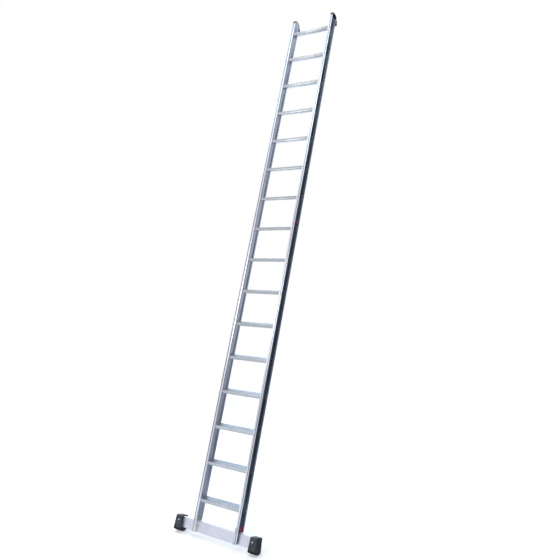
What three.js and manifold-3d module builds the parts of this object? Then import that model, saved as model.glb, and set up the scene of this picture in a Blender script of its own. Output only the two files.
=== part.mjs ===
// Single-section leaning ladder: two extruded stiles, sixteen wide ribbed rungs, and a stabiliser bar on
// rubber-soled feet. Millimetres, +Z up. The ladder leans back towards +Y at its working angle, and the
// climber stands on the -Y side. Inside the leaning group, x runs across the ladder, y from the stiles'
// front plane to their rear, and z up the stiles.
import * as THREE from "three";
import { mergeVertices } from "three/addons/utils/BufferGeometryUtils.js";
import Module from "manifold-3d";

const wasm = await Module();
wasm.setup();

// The whole ladder
const LEAN = THREE.MathUtils.degToRad(20); // from the vertical
const WIDTH = 420; // over the stiles
const GAP = 0.3; // between touching pieces

// Rungs: a wide level tread on a hollow tube that runs on through both stiles and is flared outside them
const RUNG_COUNT = 16;
const RUNG_PITCH = 280;
const FIRST_RUNG = 240; // its tube's axis, above the stiles' lower ends
const RUNG_AXIS_Y = 37.5;
const TUBE_DEPTH = 30;
const TUBE_HEIGHT = 27;
const TUBE_CORNER = 5;
const TUBE_WALL = 2;
const SWAGE_THICKNESS = 2; // of the rim outside each stile
const SWAGE_RIM = 2.4; // past the tube, all round
const TREAD_FRONT = -33; // measured level from the tube's axis
const TREAD_REAR = 38;
const TREAD_WALL = 2.5;
const TREAD_CHAMFER = 2;
const REAR_FLANGE = 18; // depth of the tread's rear edge; its nose is as deep as the tube
const RIB_COUNT = 5;
const RIB_WIDTH = 6;
const RIB_PITCH = 13;
const RIB_HEIGHT = 0.9;

// Stiles: a box section whose front and rear walls run on outwards as two lips
const STILE_LENGTH = 4575;
const STILE_FACE = 27;
const STILE_DEPTH = 75;
const STILE_LIP = 10;
const STILE_WEB = 2;
const STILE_WALL = 3;
const STILE_TOP_RADIUS = 50;

// Stabiliser bar, in a notch behind the front of each stile
const BAR_HALF_LENGTH = 368;
const BAR_HEIGHT = 80;
const BAR_THICKNESS = 32;
const BAR_WALL = 2.5;
const BAR_CORNER = 4;
const BAR_FRONT = 22;
const BAR_CENTRE_Y = BAR_FRONT + BAR_THICKNESS / 2;

// Feet: moulded boots over the bar's ends, each on a curved rubber sole
const FOOT_DEPTH = 80;
const FOOT_TOP = 86;
const FOOT_BOTTOM = -34; // below the sole's lowest point in the ladder's own frame
const FOOT_TOP_SPAN = [324, 376];
const FOOT_BOTTOM_SPAN = [316, 384];
const FOOT_CHAMFER = 5;
const SOLE_RADIUS = 70;
const SOLE_THICKNESS = 8;
const SOLE_CENTRE_Z = 40;
const SOLE_STEP = THREE.MathUtils.degToRad(8); // one facet of the curve lies flat on the floor
const FOOT_SCREW_X = 346;
const FOOT_SCREW_Z = 52;
const FOOT_SCREW_RADIUS = 3;
const FOOT_SCREW_REACH = 6; // past the bar's front wall

// Brackets on the stiles' lower ends, inserts inside them, and the fasteners that hold the bar
const BRACKET_HEIGHT = 110;
const BRACKET_PLATE = 4;
const BRACKET_REAR = 60;
const BRACKET_FLANGE = 9; // reach across the front of the stile
const BRACKET_NOSE = 5; // how far the flange's slanted front stands forward
const BRACKET_CHAMFER = 8;
const EAR_OVERLAP = 4; // of the bracket's rear ear with its front part
const INSERT_BASE = 2;
const BOLT_HEIGHTS = [18, 62];
const BOLT_RADIUS = 4;
const BOLT_TIP = 10; // from the stile's front plane
const BOLT_HOLE_END = 8;
const BOLT_FLANGE_RADIUS = 8.5;
const BOLT_FLANGE_THICKNESS = 1.6;
const BOLT_HEAD_RADIUS = 7;
const BOLT_HEAD_HEIGHT = 6.5;
const RIVET_PLACES = [
  [12, 40],
  [40, 97],
];
const RIVET_RADIUS = 2.4;
const RIVET_HEAD_RADIUS = 4.4;
const RIVET_HEAD_RIM = 0.6;
const RIVET_HEAD_DOME = 2.4;
const RIVET_HEAD_CROWN = 0.4;
const RIVET_REACH = 9;
const RIVET_HOLE_LENGTH = 20;

// Top end caps and wall pads
const CAP_THICKNESS = 9;
const CAP_FRONT_ANGLE = THREE.MathUtils.degToRad(-42);
const CAP_REAR_ANGLE = THREE.MathUtils.degToRad(54);
const CAP_FACETS = 9;
const CAP_PLUG_DEPTH = 26;
const CAP_PLUG_INSET = 12; // from the stile's front and rear walls
const CAP_PLUG_TAPER = 6;
const PAD_BOTTOM = 4508;
const PAD_TOP = 4549;
const PAD_THICKNESS = 33; // at its lower edge
const PAD_INSET = 0.5; // from the stile's two side faces
const PAD_SCREW_Z = 4528;
const PAD_SCREW_RADIUS = 2.5;
const PAD_SCREW_LENGTH = 14;
const PAD_SCREW_HEAD_RADIUS = 4.2;
const PAD_HOLE_DEPTH = 15;

// Plain stickers on the outer web of the right stile: [name, [y from, to], [z from, to]]
const LABEL_THICKNESS = 0.4;
const LABELS = [
  ["lower_label", [36, 66], [84, 122]],
  ["upper_label", [40, 58], [2528, 2566]],
];

const STILE_OUTER = WIDTH / 2;
const STILE_INNER = STILE_OUTER - STILE_FACE;
const STILE_OUTER_WEB = STILE_OUTER - STILE_LIP;
const STILE_HOLLOW = [STILE_INNER + STILE_WEB, STILE_OUTER_WEB - STILE_WEB]; // across its inside
const PAD_SCREW_X = STILE_OUTER - STILE_LIP / 2;
const FOOT_FRONT = BAR_CENTRE_Y - FOOT_DEPTH / 2;
const FOOT_REAR = BAR_CENTRE_Y + FOOT_DEPTH / 2;
const BEYOND = 1; // how far a cutting tool passes the face that it cuts
const TUBE_FACETS = 1; // at each of a rung tube's corners
const PIN_SIDES = 10;
const ROUND_SIDES = 16;
const HEX_SIDES = 6;
const RIVET_SIDES = 8;
const TOP_FACETS = 8;
const PAN_PROFILE = [
  [0, 1],
  [0.58, 0.9],
  [0.93, 0.45],
  [1, 0],
]; // of the head's radius and height
const TOP_CENTRE = [STILE_DEPTH / 2, STILE_LENGTH - STILE_TOP_RADIUS];
const SIDES = [
  ["left", -1],
  ["right", 1],
];

const MATERIALS = {
  aluminium: new THREE.MeshStandardMaterial({ color: 0xcdd1da, roughness: 0.35, metalness: 1 }),
  zinc: new THREE.MeshStandardMaterial({ color: 0xc4c6c8, roughness: 0.3, metalness: 1 }),
  foot_plastic: new THREE.MeshStandardMaterial({ color: 0x4b525a, roughness: 0.55, metalness: 0 }),
  black_plastic: new THREE.MeshStandardMaterial({ color: 0x23252b, roughness: 0.5, metalness: 0 }),
  rubber: new THREE.MeshStandardMaterial({ color: 0x17181a, roughness: 0.85, metalness: 0 }),
  label: new THREE.MeshStandardMaterial({ color: 0xa8304a, roughness: 0.45, metalness: 0 }),
};

// ---------------------------------------------------------------- solids and placing

function solid(geometry) {
  const bare = geometry.index ? geometry.toNonIndexed() : geometry.clone();
  bare.deleteAttribute("normal");
  bare.deleteAttribute("uv");
  const merged = mergeVertices(bare, 1e-4);
  const [vertProperties, triVerts] = [merged.attributes.position.array, merged.index.array];
  return new wasm.Manifold(new wasm.Mesh({ numProp: 3, vertProperties, triVerts }));
}

function geometryOf(body) {
  const mesh = body.getMesh();
  const geometry = new THREE.BufferGeometry();
  geometry.setAttribute("position", new THREE.BufferAttribute(new Float32Array(mesh.vertProperties), 3));
  geometry.setIndex(new THREE.BufferAttribute(new Uint32Array(mesh.triVerts), 1));
  geometry.computeVertexNormals();
  return geometry;
}

function union(bodies) {
  return bodies.reduce((whole, body) => whole.add(body));
}

function cut(body, tools) {
  return tools.reduce((whole, tool) => whole.subtract(tool), body);
}

function piece(name, body, material) {
  const mesh = new THREE.Mesh(geometryOf(body), MATERIALS[material]);
  mesh.name = name;
  return mesh;
}

// A closed outline, always counter-clockwise, so that mirrored sides extrude alike.
function outline(points) {
  const corners = points.map(([a, b]) => new THREE.Vector2(a, b));
  return new THREE.Shape(THREE.ShapeUtils.isClockWise(corners) ? corners.reverse() : corners);
}

function rectangle([a0, a1], [b0, b1]) {
  return outline([
    [a0, b0],
    [a1, b0],
    [a1, b1],
    [a0, b1],
  ]);
}

function extrude(shape, length, curveSegments) {
  return new THREE.ExtrudeGeometry(shape, { depth: length, bevelEnabled: false, steps: 1, curveSegments });
}

// An outline in (y, z), drawn out along x.
function alongX(shape, from, to, curveSegments = 3) {
  const basis = new THREE.Matrix4().makeBasis(
    new THREE.Vector3(0, 1, 0),
    new THREE.Vector3(0, 0, 1),
    new THREE.Vector3(1, 0, 0),
  );
  const geometry = extrude(shape, Math.abs(to - from), curveSegments).applyMatrix4(basis);
  return solid(geometry.translate(Math.min(from, to), 0, 0));
}

// An outline in (x, z), drawn out along y.
function alongY(shape, from, to, curveSegments = 3) {
  const basis = new THREE.Matrix4().makeBasis(
    new THREE.Vector3(1, 0, 0),
    new THREE.Vector3(0, 0, 1),
    new THREE.Vector3(0, -1, 0),
  );
  return solid(extrude(shape, to - from, curveSegments).applyMatrix4(basis).translate(0, to, 0));
}

// An outline in (x, y), drawn out along z.
function alongZ(shape, from, to, curveSegments = 3) {
  return solid(extrude(shape, to - from, curveSegments).translate(0, 0, from));
}

// A turned piece: its profile of [radius, height] runs along +y from the place given.
function turned(profile, place, sides = PIN_SIDES) {
  const points = profile.map(([radius, height]) => new THREE.Vector2(radius, height));
  return new THREE.LatheGeometry(points, sides).translate(...place);
}

function pin(radius, from, to, x, z, sides = PIN_SIDES) {
  const profile = [
    [0, 0],
    [radius, 0],
    [radius, to - from],
    [0, to - from],
  ];
  return solid(turned(profile, [x, from, z], sides));
}

function roundedBox(width, height, corner, [u, v] = [0, 0]) {
  const [a, b] = [width / 2 - corner, height / 2 - corner];
  const shape = new THREE.Shape();
  shape.absarc(u + a, v - b, corner, -Math.PI / 2, 0);
  shape.absarc(u + a, v + b, corner, 0, Math.PI / 2);
  shape.absarc(u - a, v + b, corner, Math.PI / 2, Math.PI);
  shape.absarc(u - a, v - b, corner, Math.PI, 1.5 * Math.PI);
  return shape;
}

// A span on the right-hand side, or its mirror image on the left.
function mirrored(span, side) {
  return span.map((x) => side * x);
}

function insideStile(side) {
  return mirrored([STILE_HOLLOW[0] + GAP, STILE_HOLLOW[1] - GAP], side);
}

// Points on an arc about a centre in (y, z), at the angles given from straight up.
function arcPoints([y, z], radius, angles) {
  return angles.map((angle) => [y + radius * Math.sin(angle), z + radius * Math.cos(angle)]);
}

function anglesBetween(from, to, count) {
  return Array.from({ length: count + 1 }, (_, i) => from + ((to - from) * i) / count);
}

// ---------------------------------------------------------------- rungs

// The tube's section about its own axis, grown on every side by a margin.
function tubeSection(margin) {
  return roundedBox(TUBE_DEPTH + 2 * margin, TUBE_HEIGHT + 2 * margin, TUBE_CORNER + margin);
}

function ribPoints() {
  const top = TUBE_HEIGHT / 2;
  const start = (TREAD_FRONT + TREAD_REAR - (RIB_COUNT - 1) * RIB_PITCH - RIB_WIDTH) / 2;
  const slope = RIB_HEIGHT / 2;
  return Array.from({ length: RIB_COUNT }, (_, i) => start + i * RIB_PITCH).flatMap((y) => [
    [y, top],
    [y + slope, top + RIB_HEIGHT],
    [y + RIB_WIDTH - slope, top + RIB_HEIGHT],
    [y + RIB_WIDTH, top],
  ]);
}

// The tread's section: nose and tube share one flat underside, and behind them a plate ends in a flange.
function treadSection() {
  const [top, bottom] = [TUBE_HEIGHT / 2, -TUBE_HEIGHT / 2];
  const tubeRear = TUBE_DEPTH / 2;
  return outline([
    [TREAD_FRONT, bottom + TREAD_CHAMFER],
    [TREAD_FRONT + TREAD_CHAMFER, bottom],
    [tubeRear - TREAD_CHAMFER, bottom],
    [tubeRear, bottom + TREAD_CHAMFER],
    [tubeRear, top - TREAD_WALL],
    [TREAD_REAR - TREAD_WALL, top - TREAD_WALL],
    [TREAD_REAR - TREAD_WALL, top - REAR_FLANGE],
    [TREAD_REAR, top - REAR_FLANGE],
    [TREAD_REAR, top],
    ...ribPoints().reverse(),
    [TREAD_FRONT + TREAD_CHAMFER, top],
    [TREAD_FRONT, top - TREAD_CHAMFER],
  ]);
}

// The chamber inside the nose, in front of the tube.
function noseChamber() {
  const [top, bottom] = [TUBE_HEIGHT / 2, -TUBE_HEIGHT / 2];
  return rectangle([TREAD_FRONT + TUBE_WALL, -TUBE_DEPTH / 2], [bottom + TUBE_WALL, top - TREAD_WALL]);
}

function rungBody() {
  const end = STILE_OUTER_WEB + GAP + SWAGE_THICKNESS;
  const tube = alongX(tubeSection(0), -end, end, TUBE_FACETS);
  const tread = alongX(treadSection(), GAP - STILE_INNER, STILE_INNER - GAP);
  const rims = SIDES.map(([, side]) =>
    alongX(tubeSection(SWAGE_RIM), side * (STILE_OUTER_WEB + GAP), side * end, TUBE_FACETS),
  );
  const hollows = [tubeSection(-TUBE_WALL), noseChamber()].map((shape) =>
    alongX(shape, -WIDTH, WIDTH, TUBE_FACETS),
  );
  return cut(union([tube, tread, ...rims]), hollows);
}

function rungHeight(index) {
  return FIRST_RUNG + index * RUNG_PITCH;
}

// Every rung is turned back by the lean, so that its tread lies level.
function rungs() {
  const body = rungBody();
  return Array.from({ length: RUNG_COUNT }, (_, i) => {
    const mesh = piece(`rung_${String(i + 1).padStart(2, "0")}`, body, "aluminium");
    mesh.rotation.x = LEAN;
    mesh.position.set(0, RUNG_AXIS_Y, rungHeight(i));
    return mesh;
  });
}

function rungHoles() {
  const hole = geometryOf(alongX(tubeSection(GAP), -WIDTH, WIDTH, TUBE_FACETS));
  return Array.from({ length: RUNG_COUNT }, (_, i) =>
    solid(hole.clone().rotateX(LEAN).translate(0, RUNG_AXIS_Y, rungHeight(i))),
  );
}

// ---------------------------------------------------------------- stiles

function stileSection(side) {
  const at = (x, y) => [side * x, y];
  return outline([
    at(STILE_INNER, 0),
    at(STILE_OUTER, 0),
    at(STILE_OUTER, STILE_WALL),
    at(STILE_OUTER_WEB, STILE_WALL),
    at(STILE_OUTER_WEB, STILE_DEPTH - STILE_WALL),
    at(STILE_OUTER, STILE_DEPTH - STILE_WALL),
    at(STILE_OUTER, STILE_DEPTH),
    at(STILE_INNER, STILE_DEPTH),
  ]);
}

function stileHollow(side) {
  return rectangle(mirrored(STILE_HOLLOW, side), [STILE_WALL, STILE_DEPTH - STILE_WALL]);
}

// Seen from the side: notched behind for the bar at the foot, rounded over at the top.
function stileSideView() {
  const edge = Math.asin(STILE_DEPTH / 2 / STILE_TOP_RADIUS);
  return outline([
    [-GAP, 0],
    [BAR_FRONT - GAP, 0],
    [BAR_FRONT - GAP, BAR_HEIGHT + GAP],
    [STILE_DEPTH + GAP, BAR_HEIGHT + GAP],
    ...arcPoints(TOP_CENTRE, STILE_TOP_RADIUS, anglesBetween(edge, -edge, TOP_FACETS)),
    [-GAP, STILE_LENGTH - STILE_TOP_RADIUS],
  ]);
}

function stile(name, side, holes) {
  const full = alongZ(stileSection(side), -BEYOND, STILE_LENGTH + BEYOND);
  const hollow = alongZ(stileHollow(side), -2 * BEYOND, STILE_LENGTH + 2 * BEYOND);
  const trimmed = full.subtract(hollow).intersect(alongX(stileSideView(), -WIDTH, WIDTH));
  const rivets = RIVET_PLACES.map(([y, z]) => rivetHole(side, y, z));
  const lip = STILE_DEPTH - STILE_WALL - BEYOND;
  const screw = pin(PAD_SCREW_RADIUS + GAP, lip, STILE_DEPTH + BEYOND, side * PAD_SCREW_X, PAD_SCREW_Z);
  return piece(`${name}_stile`, cut(trimmed, [...holes, ...rivets, screw]), "aluminium");
}

// ---------------------------------------------------------------- stabiliser bar and its fasteners

function boltX(side) {
  return (side * (STILE_INNER + STILE_OUTER_WEB)) / 2;
}

// The bar's section, grown on every side by a margin.
function barSection(margin) {
  const [thickness, height] = [BAR_THICKNESS + 2 * margin, BAR_HEIGHT + 2 * margin];
  return roundedBox(thickness, height, BAR_CORNER + margin, [BAR_CENTRE_Y, BAR_HEIGHT / 2]);
}

function stabiliserBar() {
  const tube = alongX(barSection(0), -BAR_HALF_LENGTH, BAR_HALF_LENGTH, 2);
  const hollow = alongX(barSection(-BAR_WALL), -2 * WIDTH, 2 * WIDTH, 2);
  const holes = SIDES.flatMap(([, side]) => [
    ...BOLT_HEIGHTS.map((z) => pin(BOLT_RADIUS + GAP, 0, STILE_DEPTH, boltX(side), z)),
    pin(FOOT_SCREW_RADIUS + GAP, 0, BAR_CENTRE_Y, side * FOOT_SCREW_X, FOOT_SCREW_Z),
  ]);
  return piece("stabiliser_bar", cut(tube, [hollow, ...holes]), "aluminium");
}

// A block inside the stile's lower end that the bar's bolts thread into from behind.
function stileInsert(name, side) {
  const section = rectangle(insideStile(side), [STILE_WALL + GAP, BAR_FRONT - 2 * GAP]);
  const block = alongZ(section, INSERT_BASE, BRACKET_HEIGHT);
  const bolts = BOLT_HEIGHTS.map((z) => pin(BOLT_RADIUS + GAP, BOLT_HOLE_END, STILE_DEPTH, boltX(side), z));
  const rivet = rivetHole(side, ...RIVET_PLACES[0]);
  return piece(`${name}_stile_insert`, cut(block, [...bolts, rivet]), "foot_plastic");
}

// A flanged hex bolt from behind the bar into the insert.
function barBolt(name, side, z) {
  const rear = BAR_FRONT + BAR_THICKNESS + GAP;
  const [x, flangeRear] = [boltX(side), rear + BOLT_FLANGE_THICKNESS];
  const shank = pin(BOLT_RADIUS, BOLT_TIP, flangeRear, x, z);
  const flange = pin(BOLT_FLANGE_RADIUS, rear, flangeRear, x, z, ROUND_SIDES);
  const head = pin(BOLT_HEAD_RADIUS, rear + GAP, rear + BOLT_HEAD_HEIGHT, x, z, HEX_SIDES);
  return piece(name, union([shank, flange, head]), "zinc");
}

// Hugs the inner side of the stile's lower end, with a slanted flange round its front edge.
function bracket(name, side) {
  const inner = STILE_INNER - GAP - BRACKET_PLATE;
  const at = (x, y) => [side * x, y];
  const corner = outline([
    at(inner, BAR_FRONT - GAP),
    at(inner, 0),
    at(STILE_INNER + BRACKET_FLANGE, -BRACKET_NOSE),
    at(STILE_INNER + BRACKET_FLANGE, -GAP),
    at(STILE_INNER - GAP, -GAP),
    at(STILE_INNER - GAP, BAR_FRONT - GAP),
  ]);
  const ear = outline([
    [BAR_FRONT - EAR_OVERLAP, BAR_HEIGHT + GAP],
    [BRACKET_REAR, BAR_HEIGHT + GAP],
    [BRACKET_REAR, BRACKET_HEIGHT - BRACKET_CHAMFER],
    [BRACKET_REAR - BRACKET_CHAMFER, BRACKET_HEIGHT],
    [BAR_FRONT - EAR_OVERLAP, BRACKET_HEIGHT],
  ]);
  const body = union([
    alongZ(corner, 0, BRACKET_HEIGHT),
    alongX(ear, side * inner, side * (STILE_INNER - GAP)),
  ]);
  const holes = RIVET_PLACES.map(([y, z]) => rivetHole(side, y, z));
  return piece(`${name}_bracket`, cut(body, holes), "aluminium");
}

// Rivets run along x, from a domed head on the bracket through to the inside of the stile.
function crosswise(geometry, side, x, y, z) {
  return solid(geometry.rotateZ((-side * Math.PI) / 2).translate(side * x, y, z));
}

function rivetHole(side, y, z) {
  const radius = RIVET_RADIUS + GAP;
  const hole = new THREE.CylinderGeometry(radius, radius, RIVET_HOLE_LENGTH, RIVET_SIDES);
  return crosswise(hole, side, STILE_INNER, y, z);
}

function bracketRivet(name, side, y, z) {
  const profile = [
    [0, -RIVET_HEAD_DOME],
    [RIVET_RADIUS, RIVET_HEAD_CROWN - RIVET_HEAD_DOME],
    [RIVET_HEAD_RADIUS, 0],
    [RIVET_HEAD_RADIUS, RIVET_HEAD_RIM],
    [RIVET_RADIUS, RIVET_HEAD_RIM],
    [RIVET_RADIUS, RIVET_REACH],
    [0, RIVET_REACH],
  ];
  const face = STILE_INNER - BRACKET_PLATE - 2 * GAP - RIVET_HEAD_RIM;
  return piece(name, crosswise(turned(profile, [0, 0, 0], RIVET_SIDES), side, face, y, z), "zinc");
}

// ---------------------------------------------------------------- feet

function soleAngles(radius) {
  const edge = Math.asin(FOOT_DEPTH / 2 / radius);
  const whole = Math.floor(edge / SOLE_STEP);
  const inner = anglesBetween(-whole * SOLE_STEP, whole * SOLE_STEP, 2 * whole);
  return [-edge, ...inner, edge];
}

// Points of the curved underside, from front to rear.
function soleArc(radius) {
  const angles = soleAngles(radius).map((angle) => Math.PI - angle);
  return arcPoints([BAR_CENTRE_Y, SOLE_CENTRE_Z], radius, angles);
}

function footFrontView(side) {
  return outline([
    [side * FOOT_BOTTOM_SPAN[0], FOOT_BOTTOM],
    [side * FOOT_BOTTOM_SPAN[1], FOOT_BOTTOM],
    [side * FOOT_TOP_SPAN[1], FOOT_TOP],
    [side * FOOT_TOP_SPAN[0], FOOT_TOP],
  ]);
}

function tapered(body, side) {
  return body.intersect(alongY(footFrontView(side), -FOOT_DEPTH, 2 * FOOT_DEPTH));
}

function foot(name, side) {
  const sideView = outline([
    ...soleArc(SOLE_RADIUS - SOLE_THICKNESS),
    [FOOT_REAR, FOOT_TOP - FOOT_CHAMFER],
    [FOOT_REAR - FOOT_CHAMFER, FOOT_TOP],
    [FOOT_FRONT + FOOT_CHAMFER, FOOT_TOP],
    [FOOT_FRONT, FOOT_TOP - FOOT_CHAMFER],
  ]);
  const shaped = tapered(alongX(sideView, ...mirrored(FOOT_BOTTOM_SPAN, side)), side);
  const socket = alongX(barSection(GAP), side * STILE_OUTER, side * (BAR_HALF_LENGTH + GAP));
  const screw = pin(FOOT_SCREW_RADIUS + GAP, -FOOT_DEPTH, BAR_CENTRE_Y, side * FOOT_SCREW_X, FOOT_SCREW_Z);
  return piece(`${name}_foot`, cut(shaped, [socket, screw]), "foot_plastic");
}

function footSole(name, side) {
  const seat = soleArc(SOLE_RADIUS - SOLE_THICKNESS + GAP).reverse();
  const curve = outline([...soleArc(SOLE_RADIUS), ...seat]);
  const strip = alongX(curve, ...mirrored(FOOT_BOTTOM_SPAN, side));
  return piece(`${name}_foot_sole`, tapered(strip, side), "rubber");
}

// A pan head's profile about its axis, from its crown to its seat.
function panHead(radius, height, seat) {
  return PAN_PROFILE.map(([across, up]) => [across * radius, seat - up * height]);
}

// A pan-head screw through the front of the foot into the bar.
function footScrew(name, side) {
  const reach = BAR_FRONT - FOOT_FRONT + FOOT_SCREW_REACH;
  const profile = [
    ...panHead(2 * FOOT_SCREW_RADIUS, FOOT_SCREW_RADIUS, -GAP),
    [FOOT_SCREW_RADIUS, -GAP],
    [FOOT_SCREW_RADIUS, reach],
    [0, reach],
  ];
  const body = solid(turned(profile, [side * FOOT_SCREW_X, FOOT_FRONT, FOOT_SCREW_Z]));
  return piece(`${name}_foot_screw`, body, "zinc");
}

// ---------------------------------------------------------------- top caps and wall pads

function capSideView() {
  const angles = anglesBetween(CAP_FRONT_ANGLE, CAP_REAR_ANGLE, CAP_FACETS);
  const inner = arcPoints(TOP_CENTRE, STILE_TOP_RADIUS + GAP, angles);
  const outer = arcPoints(TOP_CENTRE, STILE_TOP_RADIUS + GAP + CAP_THICKNESS, angles);
  return outline([...outer, ...inner.reverse()]);
}

function capPlug() {
  const [front, rear] = [STILE_WALL + CAP_PLUG_INSET, STILE_DEPTH - STILE_WALL - CAP_PLUG_INSET];
  const [base, top] = [STILE_LENGTH - CAP_PLUG_DEPTH, STILE_LENGTH + GAP + CAP_THICKNESS / 2];
  return outline([
    [front, base],
    [rear, base],
    [rear - CAP_PLUG_TAPER, top],
    [front + CAP_PLUG_TAPER, top],
  ]);
}

// A curved band over the stile's rounded end, with a plug that reaches down inside it.
function topCap(name, side) {
  const band = alongX(capSideView(), side * STILE_INNER, side * STILE_OUTER);
  const plug = alongX(capPlug(), ...insideStile(side));
  return piece(`${name}_top_cap`, union([band, plug]), "black_plastic");
}

// A wedge behind the stile whose outer face stands upright at the working lean.
function wallPad(name, side) {
  const base = STILE_DEPTH + GAP;
  const topThickness = PAD_THICKNESS - (PAD_TOP - PAD_BOTTOM) * Math.tan(LEAN);
  const wedge = outline([
    [base, PAD_BOTTOM],
    [base + PAD_THICKNESS, PAD_BOTTOM],
    [base + topThickness, PAD_TOP],
    [base, PAD_TOP],
  ]);
  const body = alongX(wedge, side * (STILE_INNER + PAD_INSET), side * (STILE_OUTER - PAD_INSET));
  const hole = base + PAD_HOLE_DEPTH;
  const screw = pin(PAD_SCREW_RADIUS + GAP, STILE_DEPTH, hole, side * PAD_SCREW_X, PAD_SCREW_Z);
  return piece(`${name}_wall_pad`, cut(body, [screw]), "black_plastic");
}

// Driven from the stile's outer recess through its rear lip into the pad.
function padScrew(name, side) {
  const lip = STILE_DEPTH - STILE_WALL - GAP;
  const profile = [
    ...panHead(PAD_SCREW_HEAD_RADIUS, PAD_SCREW_RADIUS, 0),
    [PAD_SCREW_RADIUS, 0],
    [PAD_SCREW_RADIUS, PAD_SCREW_LENGTH],
    [0, PAD_SCREW_LENGTH],
  ];
  const body = solid(turned(profile, [side * PAD_SCREW_X, lip, PAD_SCREW_Z]));
  return piece(`${name}_pad_screw`, body, "zinc");
}

// ---------------------------------------------------------------- labels

function labels() {
  const back = STILE_OUTER_WEB + GAP;
  return LABELS.map(([name, across, along]) =>
    piece(name, alongX(rectangle(across, along), back, back + LABEL_THICKNESS), "label"),
  );
}

// ---------------------------------------------------------------- assembly

function sideParts([name, side], holes) {
  return [
    stile(name, side, holes),
    stileInsert(name, side),
    bracket(name, side),
    ...RIVET_PLACES.map(([y, z], i) => bracketRivet(`${name}_bracket_rivet_${i + 1}`, side, y, z)),
    ...BOLT_HEIGHTS.map((z, i) => barBolt(`${name}_bar_bolt_${i + 1}`, side, z)),
    foot(name, side),
    footSole(name, side),
    footScrew(name, side),
    topCap(name, side),
    wallPad(name, side),
    padScrew(name, side),
  ];
}

function build() {
  const leaning = new THREE.Group();
  const holes = rungHoles();
  leaning.rotation.x = -LEAN;
  leaning.add(stabiliserBar(), ...rungs(), ...labels());
  SIDES.forEach((entry) => leaning.add(...sideParts(entry, holes)));

  // Stand the soles on z = 0 and centre the whole footprint on the origin.
  const root = new THREE.Group();
  root.add(leaning);
  root.updateMatrixWorld(true);
  const box = new THREE.Box3().setFromObject(root, true);
  leaning.position.set(0, -(box.min.y + box.max.y) / 2, -box.min.z);
  return root;
}

export default build();
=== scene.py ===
# %% [markdown]
# # A leaning ladder, piece by piece
# The frame holds every piece of the ladder at its true size and place, in metres, with +Z up. This
# notebook gives each piece its finished shape and surface. It starts by loading the frame.

# %% Load the frame
import math
import bpy
import bmesh
from mathutils import Matrix, Vector


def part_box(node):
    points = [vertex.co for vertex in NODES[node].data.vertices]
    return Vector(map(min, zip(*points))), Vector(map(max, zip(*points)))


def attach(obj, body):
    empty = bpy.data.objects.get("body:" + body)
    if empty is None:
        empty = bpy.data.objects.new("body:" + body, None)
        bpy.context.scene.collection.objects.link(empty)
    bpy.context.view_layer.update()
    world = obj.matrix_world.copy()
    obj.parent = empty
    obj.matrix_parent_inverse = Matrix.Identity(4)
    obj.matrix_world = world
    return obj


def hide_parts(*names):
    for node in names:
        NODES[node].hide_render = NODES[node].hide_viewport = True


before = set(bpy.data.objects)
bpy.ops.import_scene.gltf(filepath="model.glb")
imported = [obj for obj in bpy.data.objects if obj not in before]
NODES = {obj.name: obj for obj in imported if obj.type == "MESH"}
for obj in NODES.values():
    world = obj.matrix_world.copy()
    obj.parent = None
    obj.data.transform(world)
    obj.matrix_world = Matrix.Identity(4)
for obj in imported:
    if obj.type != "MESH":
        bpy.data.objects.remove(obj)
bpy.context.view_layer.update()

SIDES = (("left", -1), ("right", 1))

# %% [markdown]
# The ladder leans, so most of its pieces are neither upright nor level. They are far easier to model in
# the ladder's own frame, where x runs across, y from the stiles' front to their rear and z up the stiles,
# and to lean afterwards. The lean comes from the line through the first and the last rung.

# %% The ladder's own frame
MM = 0.001


def middle(node):
    low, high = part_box(node)
    return (Vector(low) + Vector(high)) / 2


rise = middle("rung_16") - middle("rung_01")
LEAN = math.atan2(rise.y, rise.z)
UPRIGHT = Matrix.Rotation(LEAN, 4, "X") @ Matrix.Translation(-middle("rung_01"))
LEANING = UPRIGHT.inverted()


def span(node):
    """Lowest and highest corner of a node in the ladder's own frame, from the first rung's middle."""
    points = [UPRIGHT @ vertex.co for vertex in NODES[node].data.vertices]
    lowest, highest = (Vector(most(p[i] for p in points) for i in range(3)) for most in (min, max))
    return lowest, highest


print("lean from the vertical, degrees:", round(math.degrees(LEAN), 3))

# %% [markdown]
# ## Camera
# The camera stands to the climber's right, a little above chest height, and looks slightly down. It is
# placed first, because every look at the ladder goes through it.

# %% Camera
CAMERA_PLACE = (2.675, -4.172, 2.216)
CAMERA_TURN = (86.69, 0.23, 31.75)
CAMERA_LENS = 37.72

camera = bpy.data.objects.new("camera", bpy.data.cameras.new("camera"))
bpy.context.scene.collection.objects.link(camera)
camera.location = CAMERA_PLACE
camera.rotation_euler = [math.radians(angle) for angle in CAMERA_TURN]
camera.data.lens = CAMERA_LENS
camera.data.sensor_width = 36.0
bpy.context.scene.camera = camera
print("camera to the ladder's middle, m:", round((camera.location - middle("rung_08")).length, 2))

# %% [markdown]
# ## Helpers for making nodes
# A colour is written as the hex value a screen shows, and one function turns it to the linear numbers
# that the shader wants. One more adds a node with its settings and its links, so a material reads as a
# short list.

# %% Colours and nodes


def colour(hex_value):
    channels = [int(hex_value[i : i + 2], 16) / 255 for i in (1, 3, 5)]
    linear = [c / 12.92 if c <= 0.04045 else ((c + 0.055) / 1.055) ** 2.4 for c in channels]
    return (*linear, 1.0)


def add(tree, kind, inputs=None, **settings):
    node = tree.nodes.new(kind)
    for name, value in settings.items():
        setattr(node, name, value)
    for socket, value in (inputs or {}).items():
        if isinstance(value, bpy.types.NodeSocket):
            tree.links.new(value, node.inputs[socket])
        else:
            node.inputs[socket].default_value = value
    return node


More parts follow.
